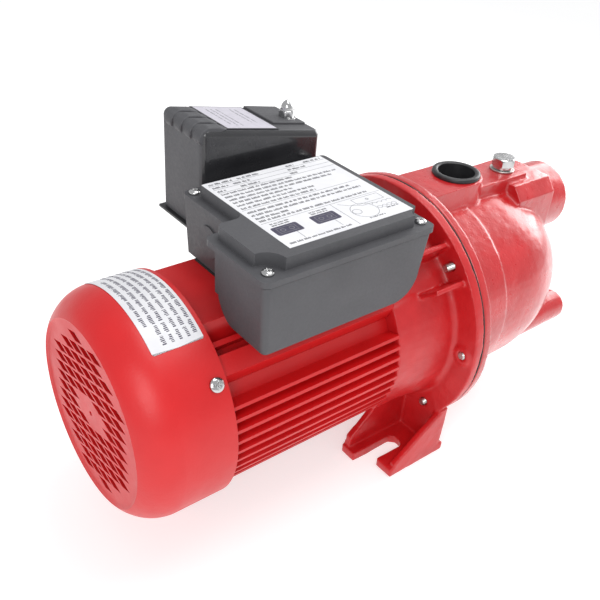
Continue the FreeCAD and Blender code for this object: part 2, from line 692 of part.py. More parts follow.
def bearings():
    """Two deep groove bearings: grooved rings, with the balls between them."""
    outer_rings, inner_rings, balls = [], [], []
    for start, stop, inner, outer in BEARINGS:
        middle = (start + stop) / 2
        pitch = (inner + outer) / 2
        ball = (outer - inner) * 0.24
        groove = ball + 0.12
        shoulder = ball * 0.45
        reach = math.sqrt(groove * groove - shoulder * shoulder)
        for side, edge, rings in ((1, outer, outer_rings), (-1, inner, inner_rings)):
            lip = pitch + side * shoulder
            rings.append(turned_ring([
                (start, edge), (start, lip), (middle - reach, lip, middle, pitch + side * groove),
                (middle + reach, lip), (stop, lip), (stop, edge)]))
        for n in range(BALLS):
            turn = 2 * math.pi * n / BALLS
            centre = Vector(middle, pitch * math.cos(turn), pitch * math.sin(turn))
            balls.append(Part.makeSphere(ball, centre))
    drawn("bearing_outer_rings", Part.makeCompound(outer_rings))
    drawn("bearing_inner_rings", Part.makeCompound(inner_rings))
    drawn("bearing_balls", Part.makeCompound(balls))


STATOR_SLOTS = 24


def stator():
    body = new_body("stator_core")
    rear, front = "-stator_rear", "-stator_front"
    extruded(body, "x", rear, front, circles=[(0, 0, "frame_bore"), (0, 0, "rotor_radius + air_gap")])
    slot = cut_out(body, "x", "-stator_rear - 1", "1 - stator_front", [
        (-1, "rotor_radius - 1"), (1, "rotor_radius - 1"), (1, 33), (2.4, 34), (3.6, 45), (-3.6, 45),
        (-2.4, 34), (-1, 33)])
    polar(body, slot, STATOR_SLOTS)
    windings = new_body("stator_windings")
    revolved(windings, [(-186, 34), (-186, 48), (-182, 51), ("-stator_rear - 1", 51), ("-stator_rear - 1", 34)])
    revolved(windings, [("1 - stator_front", 34), ("1 - stator_front", 51), (-70, 51), (-66, 48), (-66, 34)])
    bar = extruded(windings, "x", "-stator_rear - 2", "2 - stator_front", [
        (-1.9, 35), (1.9, 35), (3.2, 44.4), (-3.2, 44.4)])
    polar(windings, bar, STATOR_SLOTS)


def rotor():
    ring("rotor_core", "-stator_rear", "-stator_front", 10, "rotor_radius")
    rings = [
        less(cylinder("rotor_radius - 0.6", 6, (start, 0, 0), (1, 0, 0)),
             cylinder(16, 8, (start - 1, 0, 0), (1, 0, 0)))
        for start in (-172, -86)]
    group("rotor_end_rings", rings)


def start_switch():
    """The centrifugal start switch: a sliding spool on the shaft and the contact plate that it lets go."""
    ring("governor_spool", -194, -185, 10.05, 20)
    body = new_body("start_switch_plate")
    extruded(body, "x", "4 - motor_rear", "6 - motor_rear",
        [(-14, 22), (14, 22), (26, 30), (26, 47), (-26, 47), (-26, 30)])


# ---- hydraulic parts --------------------------------------------------------------------------

def mechanical_seal():
    ring("seal_seat", -15, -4, 8.6, 14.5)
    ring("seal_head", -3.9, 1.5, 8, 12)
    crests = [(1.8 + 1.25 * n, 11 if n % 2 == 0 else 9.6) for n in range(9)]
    turned("seal_bellows", crests + [(x, round(r - 0.6, 1)) for x, r in reversed(crests)])


def impeller():
    body = new_body("impeller")
    revolved(body, [(12.2, 6), (34, 6), (34, 10), (18, 13), (14.4, 20), (14.4, "impeller_radius"),
                    (12.2, "impeller_radius")])
    revolved(body, [(19.2, 20), (22, 17.2), (32, 17.2), (32, 20), (22, 20), (21.4, 24),
        (21.4, "impeller_radius"),
                    (19.2, "impeller_radius")])
    vane = extruded(body, "x", 14, 20, [(-1, 21, -34), (21, 49.5), (19.6, 51, 36), (-3, 22.5)])
    polar(body, vane, 6)
    nut = less(hexagon(14, 6, (34, 0, 0), (1, 0, 0)), cylinder(6, 8, (33, 0, 0), (1, 0, 0)))
    keep("impeller_nut", nut)


def diffuser():
    body = new_body("diffuser")
    revolved(body, [(10, 57), (10, 66), (30, 66), (30, 20.5), (25, 20.5), (25, 57)])
    revolved(body, [(30, 20.5), (30, 30), (46, 26), (52, 26), (52, 18), (42, 18), (34, 20.5)])
    vane = extruded(body, "x", 30, 40, [(-1.2, 40), (1.2, 40), (1.2, 64), (-1.2, 64)])
    polar(body, vane, 6)
    ring("diffuser_o_ring", 47, 49, 26, 28)


def ejector():
    turned("venturi_tube", [
        (44, 11), (52.2, 10), (96, 5), (108, 5), (118, 9), (118, 15), (100, 12), (60, 14), (60, 20), (52.2, 20),
        (52.2, 17.8), (44, 17.8)])
    turned("ejector_body", [
        (112, 15.2), (118.2, 15.2), (118.2, 13), (120, 20), (140, 20), (148, 8), (152, 8), (152, 12),
        (143, 24), (112, 24)])
    turned("ejector_nozzle", [(124, 3), (150, 6), (150, 7.9), (140, 7.9), (124, 4.4)])


# ---- terminal box -----------------------------------------------------------------------------

def terminal_box():
    body = new_body("terminal_box")
    wall = "box_wall"
    extruded(body, "y", "-box_step - 4", "box_far", [
        ("-neck_left", "box_top"), ("-neck_left + 2.5", "box_bottom"), ("-motor_front - 1.5", "box_bottom"),
        ("-motor_front - 1.5", 72), ("-box_front - 1", 84), ("-box_front", "box_top")])
    extruded(body, "y", "-box_near", "-box_step", [
        ("-box_left", "box_top"), ("-box_left + 1", "bulge_bottom + 5", 5), ("-box_left + 6", "bulge_bottom"),
        ("-box_front - 24", "bulge_bottom", 20), ("-box_front - 4", "bulge_bottom + 20"),
        ("-box_front", "box_top")])
    rounded(body, 4, lambda p, e: p.y < -size("box_near") + 0.1 and p.z < size("box_top") - 1)
    cut_out(body, "x", "-box_left - 1", "1 - box_front", [
        (-57, "bulge_bottom - 1"), (-10, "bulge_bottom - 1"), (-10, "box_bottom"), (-27, "box_bottom"),
        (-27, 76, -24), (-44, 59), (-57, "bulge_bottom + 0.2")])
    cut_out(body, "x", "-box_left - 1", "-neck_left - 0.2", [
        (-27.5, "box_bottom - 1"), (-23.5, "box_bottom - 1"), (-23.5, 76), (-27.5, 76)])
    cut_out(body, "y", -34, f"box_far - {wall}", [
        (f"-neck_left + {wall}", "box_top + 1"), (f"-neck_left + {wall} + 2.5", f"box_bottom + {wall}"),
        (f"-motor_front - 1.5 - {wall}", f"box_bottom + {wall}"), (f"-motor_front - 1.5 - {wall}", 73),
        (f"-box_front - 1 - {wall}", 85), (f"-box_front - {wall}", "box_top + 1")])
    cut_out(body, "x", f"-box_left + {wall}", -74, [
        (f"-box_near + {wall}", "box_top + 1"), (f"-box_near + {wall}", 62),
        ("-box_near + 6", "bulge_bottom + 3"),
        (-54, "bulge_bottom + 3"), (-45, 62.5), (-30.5, 78), (-30.5, "box_top + 1")])
    cut_out(body, "y", f"-box_near + {wall}", -30, [
        (-75, "box_top + 1"), (-75, 78), (-58, 82), (f"-box_front - {wall}", "box_top + 1")])
    cut_out(body, "z", "box_bottom - 1", 68, [(-57, -30), (-48, -30), (-48, -20), (-57, -20)])
    cut_out(body, "z", "box_bottom - 1", "box_bottom + box_wall + 1", circles=[(-104, 0, 7)])
    cut_out(body, "y", 30, "box_far + 1", circles=[(-92, 85, 8)])
    extruded(body, "x", "-neck_left - 0.6", "3 - neck_left", circles=[(12, 86, 10.5)])


def lid_parts():
    body = new_body("terminal_box_lid")
    low = "box_top + 1.2"
    out = 1.4
    extruded(body, "z", low, "lid_flange", [
        (f"-box_left - {out}", f"-box_near - {out} + 5", 5), (f"-box_left - {out} + 5", f"-box_near - {out}"),
        (f"-box_front + {out} - 5", f"-box_near - {out}", 5), (f"-box_front + {out}", f"-box_near - {out} + 5"),
        (f"-box_front + {out}", f"box_far + {out} - 5", 5), (f"-box_front + {out} - 5", f"box_far + {out}"),
        (f"-neck_left - {out} + 5", f"box_far + {out}", 5), (f"-neck_left - {out}", f"box_far + {out} - 5"),
        (f"-neck_left - {out}", "-8", "-6"), (f"-neck_left - {out} - 6", "-14"),
        (f"-box_left - {out} + 6", "-14", 6), (f"-box_left - {out}", "-20")])
    left, right, neck = "-box_left + 4.5", "-box_front - 4", "-neck_left + 4.5"
    near, far = "-box_near + 4.5", "box_far - 10.5"
    extruded(body, "z", "lid_flange - 0.5", "lid_top", [
        (left, f"{near} + 12", -12), (f"{left} + 12", near), (f"{right} - 9", near, -9), (right, f"{near} + 9"),
        (right, f"{far} - 3", 3), (f"{right} - 3", far), (f"{neck} + 3", far, 3), (neck, f"{far} - 3"),
        (neck, -12, -6), (f"{neck} - 6", -18), (f"{left} + 4", -18, 4), (left, -22)])
    cut_out(body, "z", f"{low} - 1", "lid_top - 2.6", [
        ("-neck_left + 18", "16"), ("-neck_left + 18", -18), ("-box_left + 8", -20), ("-box_left + 8", -50),
        ("-neck_left + 2", -62), ("-box_front - 20", -62), ("-box_front - 8", -50), ("-box_front - 8", 16)])
    for x, y in LID_SCREWS:
        cut_out(body, "z", low, "lid_top", circles=[(x, y, 2.1)])
    gasket = new_body("lid_gasket")
    extruded(gasket, "z", "box_top", "box_top + 1.2", [
        ("-box_left + 0.9", "-box_near + 0.9"), ("-box_front - 0.9", "-box_near + 0.9"),
        ("-box_front - 0.9", "box_far - 0.9"), ("-neck_left + 0.9", "box_far - 0.9"),
        ("-neck_left + 0.9", "-box_step - 0.9"), ("-box_left + 0.9", "-box_step - 0.9")])
    cut_out(gasket, "z", "box_top - 1", "box_top + 2", [
        ("-box_left + 3", "-box_near + 3"), ("-box_front - 3", "-box_near + 3"),
        ("-box_front - 3", "box_far - 3"), ("-neck_left + 3", "box_far - 3"),
        ("-neck_left + 3", "-box_step - 3"), ("-box_left + 3", "-box_step - 3")])


LID_SCREWS = ((-167.4, -65), (-53.6, -65), (-54, 35.4), (-150.5, 35.4))


def lid_hardware():
    screws = []
    for x, y in LID_SCREWS:
        head = cylinder(3.5, 2.4, (x, y, "lid_flange"))
        shank = cylinder(2, 4.2, (x, y, "lid_flange - 3.6"))
        screws.append(joined([head, shank]))
    group("lid_screws", screws)
    base = block(("-neck_left + 1.5", "1.5 - pad_half", "pad_height"),
        ("-motor_front - 3", "pad_half - 1.5", "box_bottom"))
    hole = cylinder(7, 4, (-104, 0, "pad_height - 1"))
    keep("box_gasket", less(base, hole))
    label = block((-150, -60.5, "lid_top"), (-57, 28.5, "lid_top + 0.2"))
    keep("rating_label", label)
    wrap = less(cylinder("cover_radius + 0.2", 32.4, (-224.4, 0, 0), (1, 0, 0)),
                cylinder("cover_radius", 40, (-228, 0, 0), (1, 0, 0)))
    sector = block((-230, -42.4, 0), (-180, 42.4, "cover_radius + 2"))
    both = doc.addObject("Part::Common", "wrapped")
    both.Base = wrap
    both.Tool = sector
    keep("cover_label", both)


def box_contents():
    can = cylinder(14.4, 78, (-160, -52, 78), (1, 0, 0))
    ends = [cylinder(1.6, 6, (-82, y, 80), (1, 0, 0)) for y in (-57, -47)]
    keep("start_capacitor", joined([can] + ends))
    board = block((-149, -22, "box_bottom + box_wall"), (-112, 20, "box_bottom + box_wall + 3"))
    barrels = [cylinder(3, 8, (-145 + 9 * n, 12, "box_bottom + box_wall + 3")) for n in range(4)]
    keep("terminal_board", joined([board] + barrels))
    housing = block((-92, -20, "box_bottom + box_wall"), (-62, 0, "box_bottom + box_wall + 12"))
    slot = block((-86, -13, "box_bottom + box_wall + 6"), (-68, -7, "box_bottom + box_wall + 13"))
    keep("voltage_selector_body", less(housing, slot))
    shoe = block((-85, -12.7, "box_bottom + box_wall + 6.3"), (-76, -7.3, "box_bottom + box_wall + 11.5"))
    knob = block((-82.5, -11.5, "box_bottom + box_wall + 11.5"), (-78.5, -8.5, "box_bottom + box_wall + 15"))
    keep("voltage_selector_slide", joined([shoe, knob]))


# ---- pressure switch --------------------------------------------------------------------------

def switch_cover():
    body = new_body("switch_cover")
    extruded(body, "y", "switch_near", "switch_far", [
        ("-switch_left", "switch_base"), ("-switch_right", "switch_base"), ("-switch_right", "switch_low"),
        ("-switch_left", "switch_high")])
    rounded(body, 5, lambda p, e: p.z > 90 and e.Length < 200)
    wall = "switch_wall"
    cut_out(body, "y", f"switch_near + {wall}", f"switch_far - {wall}", [
        (f"-switch_left + {wall}", "switch_base - 1"), (f"-switch_right - {wall}", "switch_base - 1"),
        (f"-switch_right - {wall}", "switch_low - 6"), ("-switch_right - 8", f"switch_low - {wall}"),
        ("-switch_left + 8", f"switch_high - {wall} - 2"), (f"-switch_left + {wall}", "switch_high - 9")])
    cut_out(body, "z", 100, "switch_high + 2", circles=[("-stud_at", "switch_middle - 4", 3.4)])
    cut_out(body, "y", 40, 48, circles=[(-92, 85, 8)])


def coil_spring(radius, wire, pitch, height):
    """A wire coil that stands on its own base, along Z."""
    helix = Part.makeHelix(pitch, height - 2 * wire, radius)
    section = Part.Wire([Part.Circle(Vector(radius, 0, 0), Vector(0, 1, 0), wire).toShape()])
    coil = Part.Wire(helix.Edges).makePipeShell([section], True, True)
    coil.translate(Vector(0, 0, wire))
    return coil


TUBE_ROUTE = ((-92, 70, 44), (-92, 70, 32), (-84, 78, 24), (-60, 84, 26), (-20, 84, 54), (24, 84, 54),
    (46, 80, 46),
              (60, 72, 41), (62, 61, 40))
TUBE_RADIUS = 3.2


def sensing_tube():
    """A formed tube from the switch's port, past the flanges, to a boss on the far side of the casing."""
    points = [Vector(*p) for p in TUBE_ROUTE]
    edges = []
    start = points[0]
    for before, corner, after in zip(points, points[1:], points[2:]):
        into, out = (corner - before), (after - corner)
        turn = into.getAngle(out)
        reach = 0.45 * min(into.Length, out.Length)
        into.normalize()
        out.normalize()
        first, last = corner - into * reach, corner + out * reach
        bulge = (out - into).normalize() * (reach * math.tan(turn / 4))
        middle = (first + last) * 0.5 + bulge * -1
        edges.append(Part.LineSegment(start, first).toShape())
        edges.append(Part.Arc(first, middle, last).toShape())
        start = last
    edges.append(Part.LineSegment(start, points[-1]).toShape())
    path = Part.Wire(edges)
    section = Part.Wire([Part.Circle(points[0], Vector(0, 0, 1), TUBE_RADIUS).toShape()])
    return path.makePipeShell([section], True, True)


def switch_parts():
    base = block(("-switch_left - 3", "switch_near - 0.6", "switch_base - 2"),
                 ("-switch_right + 2", "switch_far + 0.6", "switch_base"))
    holes = [cylinder(9, 6, (-92, "switch_middle", "switch_base - 4")),
             cylinder(3, 6, ("-stud_at", "switch_middle - 4", "switch_base - 4"))]
    keep("switch_base_plate", less(base, joined(holes)))
    middle = (-92, "switch_middle", 0)
    turned("diaphragm_housing", [(44, 5), (44, 8), (58, 8), (60, 20), (71, 20), (71, 9), (66, 9),
        (66, 5)], middle, "z")
    turned("switch_plunger", [(66.2, 0), (66.2, 8.7), (69, 8.7), (70, 4), (84, 4), (84, 0)], middle, "z")
    stud_place = ("-stud_at", "switch_middle - 4", 0)
    turned("cover_stud", [(70, 0), (70, 3), (138, 3), (138, 0)], stud_place, "z")
    turned("acorn_nut", [
        (130.6, 3.05), (130.6, 6.4), (131.6, 6.4), (132, 5.2), (137, 5.2), (139.4, 4.9), (141.6, 3.9),
        (142.9, 2.2),
        (143.4, 0), (138.6, 0), (138.6, 3.05)], stud_place, "z")
    lever = block((-112, "switch_middle - 9", 84.4), (-70, "switch_middle + 9", 86))
    ears = [block((-114.5, f"switch_middle + {y}", 83),
        (-108, f"switch_middle + {y + 1.6}", 90)) for y in (-9, 7.4)]
    bores = [cylinder(1.56, 30, (-111.5, "switch_middle - 15", 87.2), (0, 1, 0))]
    keep("contact_lever", less(joined([lever] + ears), bores[0]))
    pin = cylinder(1.5, 24, (-111.5, "switch_middle - 12", 87.2), (0, 1, 0))
    keep("lever_pin", pin)
    posts = []
    for y in (-12, 10.4):
        post = block((-114.5, f"switch_middle + {y}", "switch_base"),
            (-108.5, f"switch_middle + {y + 1.6}", 90))
        posts.append(less(post, cylinder(1.5, 4, (-111.5, f"switch_middle + {y - 1}", 87.2), (0, 1, 0))))
    group("lever_posts", posts)
    block_body = block((-136, "switch_middle - 18", "switch_base"), (-120, "switch_middle + 18", 92))
    screws = [cylinder(3, 3, (-128, f"switch_middle + {y}", 92)) for y in (-12, -4, 4, 12)]
    keep("contact_block", joined([block_body] + screws))
    spring_stud = cylinder(2.6, 35, (-80, "switch_middle", 92))
    seat = cylinder(7, 2, (-80, "switch_middle", 118))
    keep("range_spring_stud", joined([spring_stud, seat]))
    drawn("range_spring", coil_spring(5.2, 0.9, 3.4, 27), (-80, size("switch_middle"), 89.2))
    drawn("sensing_tube", sensing_tube())
    nipple = less(cylinder(8, 20, (-92, 27, 85), (0, 1, 0)), cylinder(6, 24, (-92, 25, 85), (0, 1, 0)))
    keep("conduit_nipple", nipple)


def main():
    pump_casing()
    pump_fasteners()
    casing_gasket()
    pump_plugs()
    motor_bracket()
    motor_frame()
    rear_end_bell()
    tie_rods()
    fan_cover()
    cover_screws()
    cooling_fan()
    shaft_parts()
    bearings()
    stator()
    rotor()
    start_switch()
    mechanical_seal()
    impeller()
    diffuser()
    ejector()
    terminal_box()
    lid_parts()
    lid_hardware()
    box_contents()
    switch_cover()
    switch_parts()


def check_and_write():
    doc.recompute()
    failed = [item.Label for item in doc.Objects if "Invalid" in item.State or "Error" in item.State]
    failed += [item.Label for item in SUB_PARTS if item.Shape.isNull() or not item.Shape.isValid()]
    if failed:
        raise RuntimeError(f"these failed: {failed}")
    os.makedirs("parts", exist_ok=True)
    for item in SUB_PARTS:
        item.Shape.exportStep(f"parts/{item.Label}.step")
        print(item.Label, len(item.Shape.Solids), round(item.Shape.Volume))


main()
check_and_write()
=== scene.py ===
"""The shallow well jet pump's looks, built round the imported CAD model.

Lengths are metres in the row's frame, except where a name or comment gives mm.
"""
import bmesh
import bpy
import json
import math
import random
from mathutils import Matrix, Vector, noise


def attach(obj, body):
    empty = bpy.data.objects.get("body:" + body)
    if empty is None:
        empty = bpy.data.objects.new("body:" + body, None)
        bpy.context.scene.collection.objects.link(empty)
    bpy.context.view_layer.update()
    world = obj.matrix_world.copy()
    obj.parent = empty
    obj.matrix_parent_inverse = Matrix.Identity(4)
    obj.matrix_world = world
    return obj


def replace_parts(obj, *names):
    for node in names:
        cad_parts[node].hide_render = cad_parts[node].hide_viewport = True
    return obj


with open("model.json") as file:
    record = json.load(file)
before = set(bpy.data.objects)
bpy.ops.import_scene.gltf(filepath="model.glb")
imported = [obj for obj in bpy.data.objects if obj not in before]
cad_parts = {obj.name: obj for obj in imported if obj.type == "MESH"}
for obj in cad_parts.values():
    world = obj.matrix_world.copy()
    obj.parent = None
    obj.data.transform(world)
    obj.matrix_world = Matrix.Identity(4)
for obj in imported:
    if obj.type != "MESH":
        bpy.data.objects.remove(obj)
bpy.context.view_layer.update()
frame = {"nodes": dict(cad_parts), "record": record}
nodes = frame["nodes"]

MM = 0.001
JOINT, SHAFT = 38.6, 100.0      # the shaft frame's origin in the row's frame, mm
COVER_RADIUS = 75.0
LID_TOP = 116.0
LID_FLANGE = 108.0
LABEL_LEFT, LABEL_FAR, LABEL_THICK = -150.0, 28.5, 0.2      # the lid's label
# The fan cover's label: degrees round from the near side, and its rear edge.
WRAP_START, WRAP_REAR = 55.57, -224.4
PRINT = 0.03                    # how thick a printed mark is
SWITCH_REAR, SWITCH_HIGH, SWITCH_DROP, SWITCH_RUN = -140, 144, 17, 95     # the sloped top of the switch cover


def at(x, y, z):
    """A point given in the CAD's shaft frame, in mm."""
    return Vector(((x + JOINT) * MM, y * MM, (z + SHAFT) * MM))


# ---- materials --------------------------------------------------------------------------------

class Paint:
    """A Principled material whose colour, roughness and bump come from noise on object coordinates."""

    def __init__(self, name, base, roughness, metallic=0.0, coat=0.0, coat_roughness=0.1, specular=0.5):
        self.material = bpy.data.materials.new(name)
        self.material.use_nodes = True
        self.tree = self.material.node_tree
        self.shader = self.tree.nodes["Principled BSDF"]
        self.base = base
        shader = self.shader.inputs
        shader["Base Color"].default_value = (*base, 1)
        shader["Roughness"].default_value = roughness
        shader["Metallic"].default_value = metallic
        shader["Coat Weight"].default_value = coat
        shader["Coat Roughness"].default_value = coat_roughness
        shader["Specular IOR Level"].default_value = specular
        self.place = self.add("ShaderNodeTexCoord").outputs["Object"]
        self.normal = None

    def add(self, kind, **settings):
        node = self.tree.nodes.new(kind)
        for key, value in settings.items():
            setattr(node, key, value)
        return node

    def link(self, out, into):
        self.tree.links.new(out, into)

    def cells(self, scale, detail=3.0, rough=0.55, stretch=(1, 1, 1), kind="ShaderNodeTexNoise"):
        """A noise value; scale is in features per metre."""
        mapping = self.add("ShaderNodeMapping")
        mapping.inputs["Scale"].default_value = stretch
        self.link(self.place, mapping.inputs["Vector"])
        node = self.add(kind)
        node.inputs["Scale"].default_value = scale
        if kind == "ShaderNodeTexNoise":
            node.inputs["Detail"].default_value = detail
            node.inputs["Roughness"].default_value = rough
            out = node.outputs["Fac"]
        else:
            out = node.outputs["Distance"]
        self.link(mapping.outputs["Vector"], node.inputs["Vector"])
        return out

    def ranged(self, value, low, high, to_low=0.0, to_high=1.0):
        node = self.add("ShaderNodeMapRange")
        for name, number in (("From Min", low), ("From Max", high), ("To Min", to_low), ("To Max", to_high)):
            node.inputs[name].default_value = number
        self.link(value, node.inputs["Value"])
        return node.outputs["Result"]

    def colour(self, factor, other, low=0.35, high=0.65):
        """Mixes towards another colour where a noise is high; calls stack."""
        mix = self.add("ShaderNodeMix", data_type="RGBA")
        colour_in = self.shader.inputs["Base Color"]
        if colour_in.is_linked:
            self.link(colour_in.links[0].from_socket, mix.inputs["A"])
        else:
            mix.inputs["A"].default_value = (*self.base, 1)
        mix.inputs["B"].default_value = (*other, 1)
        self.link(self.ranged(factor, low, high), mix.inputs["Factor"])
        self.link(mix.outputs["Result"], colour_in)
        return self

    def roughness(self, factor, low, high):
        self.link(self.ranged(factor, 0.3, 0.7, low, high), self.shader.inputs["Roughness"])
        return self

    def bump(self, factor, height, strength=1.0):
        """Adds relief of a height in metres; calls stack."""
        node = self.add("ShaderNodeBump")
        node.inputs["Strength"].default_value = strength
        node.inputs["Distance"].default_value = height
        self.link(factor, node.inputs["Height"])
        if self.normal:
            self.link(self.normal, node.inputs["Normal"])
        self.normal = node.outputs["Normal"]
        self.link(self.normal, self.shader.inputs["Normal"])
        return self


def make_materials():
    paints = {}

    # Painted shade: a dark red that stands for the shade inside the fan cover, behind the grille. The cover's
    # inner faces are given it.
    inside = Paint("red_inside", (0.05, 0.003, 0.004), 0.6)
    inside.colour(inside.cells(60, 3), (0.075, 0.004, 0.005), 0.35, 0.7)
    inside.bump(inside.cells(700, 2), 0.0002, 0.3)
    paints["red_inside"] = inside

    casting = Paint("red_casting", (0.50, 0.009, 0.012), 0.3, coat=0.7, coat_roughness=0.2)
    blotch = casting.cells(38, 4)
    casting.colour(blotch, (0.60, 0.014, 0.018), 0.38, 0.68)
    casting.colour(casting.cells(900, 2), (0.40, 0.008, 0.012), 0.62, 0.8)
    casting.roughness(casting.cells(60, 3), 0.24, 0.42)
    casting.bump(casting.cells(150, 3, 0.5), 0.0006, 0.4)
    casting.bump(casting.cells(480, 3, 0.55), 0.0003, 0.45)
    casting.bump(casting.ranged(casting.cells(330, kind="ShaderNodeTexVoronoi"), 0.0, 0.3), 0.0003, 0.4)
    paints["red_casting"] = casting

    coat = Paint("red_coat", (0.60, 0.006, 0.008), 0.4, coat=0.12, coat_roughness=0.3)
    coat.colour(coat.cells(24, 3), (0.66, 0.008, 0.010), 0.35, 0.7)
    coat.roughness(coat.cells(70, 3), 0.36, 0.48)
    coat.bump(coat.cells(700, 2, 0.5), 0.00022, 0.35)
    coat.bump(coat.cells(2600, 2), 0.00006, 0.35)
    paints["red_coat"] = coat

    rough_coat = Paint("red_bracket", (0.52, 0.009, 0.012), 0.36, coat=0.2, coat_roughness=0.25)
    rough_coat.colour(rough_coat.cells(45, 4), (0.60, 0.013, 0.016), 0.36, 0.7)
    rough_coat.roughness(rough_coat.cells(80, 3), 0.3, 0.46)
    rough_coat.bump(rough_coat.cells(160, 3), 0.0006, 0.5)
    rough_coat.bump(rough_coat.cells(900, 3), 0.00016, 0.5)
    paints["red_bracket"] = rough_coat

    plastic = Paint("grey_plastic", (0.072, 0.072, 0.078), 0.5, specular=0.45)
    plastic.colour(plastic.cells(30, 3), (0.085, 0.085, 0.092), 0.35, 0.7)
    plastic.roughness(plastic.cells(500, 2), 0.44, 0.58)
    plastic.bump(plastic.cells(3200, 2, 0.5), 0.00008, 0.6)
    paints["grey_plastic"] = plastic

    cover = Paint("black_cover", (0.018, 0.018, 0.02), 0.2, coat=0.5, coat_roughness=0.08)
    cover.colour(cover.cells(25, 3), (0.028, 0.028, 0.031), 0.4, 0.7)
    cover.roughness(cover.cells(90, 3), 0.16, 0.3)
    cover.bump(cover.cells(260, 2), 0.0001, 0.35)
    paints["black_cover"] = cover

    for name, base, rough, other, bumps in (
            ("black_plastic", (0.016, 0.016, 0.018), 0.38, (0.028, 0.028, 0.03), 900),
            ("dark_gasket", (0.02, 0.019, 0.018), 0.7, (0.04, 0.036, 0.034), 1500),
            ("rubber", (0.014, 0.014, 0.014), 0.72, (0.028, 0.028, 0.028), 1500),
            ("beige_plastic", (0.62, 0.46, 0.32), 0.5, (0.54, 0.38, 0.25), 700),
            ("brown_board", (0.16, 0.07, 0.03), 0.55, (0.22, 0.10, 0.045), 800),
            ("white_label", (0.80, 0.80, 0.82), 0.42, (0.74, 0.74, 0.77), 400),
            ("noryl", (0.03, 0.03, 0.034), 0.5, (0.05, 0.05, 0.055), 600),
            ("carbon", (0.03, 0.03, 0.034), 0.3, (0.05, 0.05, 0.055), 900),
            ("capacitor_case", (0.012, 0.012, 0.014), 0.32, (0.022, 0.022, 0.026), 500)):
        paint = Paint(name, base, rough)
        paint.colour(paint.cells(60, 3), other, 0.35, 0.7)
        paint.roughness(paint.cells(bumps / 3, 2), rough - 0.06, rough + 0.08)
        paint.bump(paint.cells(bumps, 2), 0.0001, 0.4)
        paints[name] = paint

    for name, base, rough, other, stretch in (
            ("steel", (0.56, 0.55, 0.53), 0.3, (0.48, 0.47, 0.45), (1, 1, 1)),
            ("bright_steel", (0.58, 0.58, 0.58), 0.17, (0.52, 0.52, 0.52), (1, 1, 1)),
            ("lamination", (0.22, 0.22, 0.23), 0.45, (0.14, 0.14, 0.15), (14, 1, 1)),
            ("copper", (0.55, 0.20, 0.08), 0.35, (0.40, 0.12, 0.04), (1, 5, 5)),
            ("cast_alloy", (0.52, 0.52, 0.54), 0.45, (0.40, 0.40, 0.42), (1, 1, 1)),
            ("brass", (0.70, 0.46, 0.16), 0.28, (0.55, 0.34, 0.12), (1, 1, 1))):
        paint = Paint(name, base, rough, metallic=1.0)
        paint.colour(paint.cells(160, 4, stretch=stretch), other, 0.42, 0.72)
        paint.roughness(paint.cells(420, 3, stretch=stretch), rough - 0.04, rough + 0.08)
        paint.bump(paint.cells(1400, 2, stretch=stretch), 0.00001, 0.15)
        paints[name] = paint

    for name, base, other in (
            ("print_grey", (0.07, 0.07, 0.08), (0.12, 0.12, 0.13)),
            ("print_light", (0.20, 0.205, 0.22), (0.28, 0.285, 0.30)),
            ("print_slate", (0.045, 0.04, 0.075), (0.065, 0.058, 0.10)),
            ("print_frame", (0.02, 0.02, 0.023), (0.035, 0.035, 0.04)),
            ("lilac_label", (0.58, 0.56, 0.62), (0.52, 0.50, 0.56))):
        paint = Paint(name, base, 0.45)
        paint.colour(paint.cells(300, 3), other, 0.35, 0.7)
        paint.bump(paint.cells(1200, 2), 0.00003, 0.3)
        paints[name] = paint
    return {name: paint.material for name, paint in paints.items()}


# ---- mesh building ----------------------------------------------------------------------------

def to_object(name, mesh_or_bm, material, body="pump", smooth=True):
    """Makes an object from a mesh and rides it on a body."""
    if isinstance(mesh_or_bm, bmesh.types.BMesh):
        mesh = bpy.data.meshes.new(name)
        mesh_or_bm.to_mesh(mesh)
        mesh_or_bm.free()
    else:
        mesh = mesh_or_bm
    item = bpy.data.objects.new(name, mesh)
    bpy.context.scene.collection.objects.link(item)
    mesh.materials.clear()
    for m in (material if isinstance(material, (list, tuple)) else [material]):
        mesh.materials.append(mats[m])
    if smooth:
        mesh.shade_smooth()
    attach(item, body)
    return item


def modifier(item, kind, **settings):
    mod = item.modifiers.new(kind.lower(), kind)
    for key, value in settings.items():
        setattr(mod, key, value)
    return mod


def softened(item, width, segments=2, angle=35):
    """Bevels the sharp edges, and keeps the flats flat."""
    modifier(item, "BEVEL", width=width, segments=segments, limit_method="ANGLE",
             angle_limit=math.radians(angle), harden_normals=True, use_clamp_overlap=True)
    return item


def baked(item):
    """Turns the modifiers of one of this script's own objects into its mesh."""
    graph = bpy.context.evaluated_depsgraph_get()
    mesh = bpy.data.meshes.new_from_object(item.evaluated_get(graph))
    old = item.data
    item.modifiers.clear()
    item.data = mesh
    bpy.data.meshes.remove(old)
    return item


def cross_axes(axis):
    """The unit axis and two unit directions square to it."""
    axis = Vector(axis).normalized()
    side = axis.orthogonal().normalized()
    return axis, side, axis.cross(side)


def lathe(bm, profile, centre, axis, turns=48):
    """Adds a solid of revolution: profile is (along, radius) in mm, from pole to pole."""
    axis, side, other = cross_axes(axis)
    rings = []
    for along, radius in profile:
        if radius < 1e-6:
            rings.append([bm.verts.new(centre + axis * along * MM)])
            continue
        ring = []
        for n in range(turns):
            angle = 2 * math.pi * n / turns
            out = side * math.cos(angle) + other * math.sin(angle)
            ring.append(bm.verts.new(centre + axis * along * MM + out * radius * MM))
        rings.append(ring)
    for low, high in zip(rings, rings[1:]):
        for n in range(turns):
            after = (n + 1) % turns
            if len(low) == 1:
                bm.faces.new((low[0], high[after], high[n]))
            elif len(high) == 1:
                bm.faces.new((low[n], low[after], high[0]))
            else:
                bm.faces.new((low[n], low[after], high[after], high[n]))
    return rings


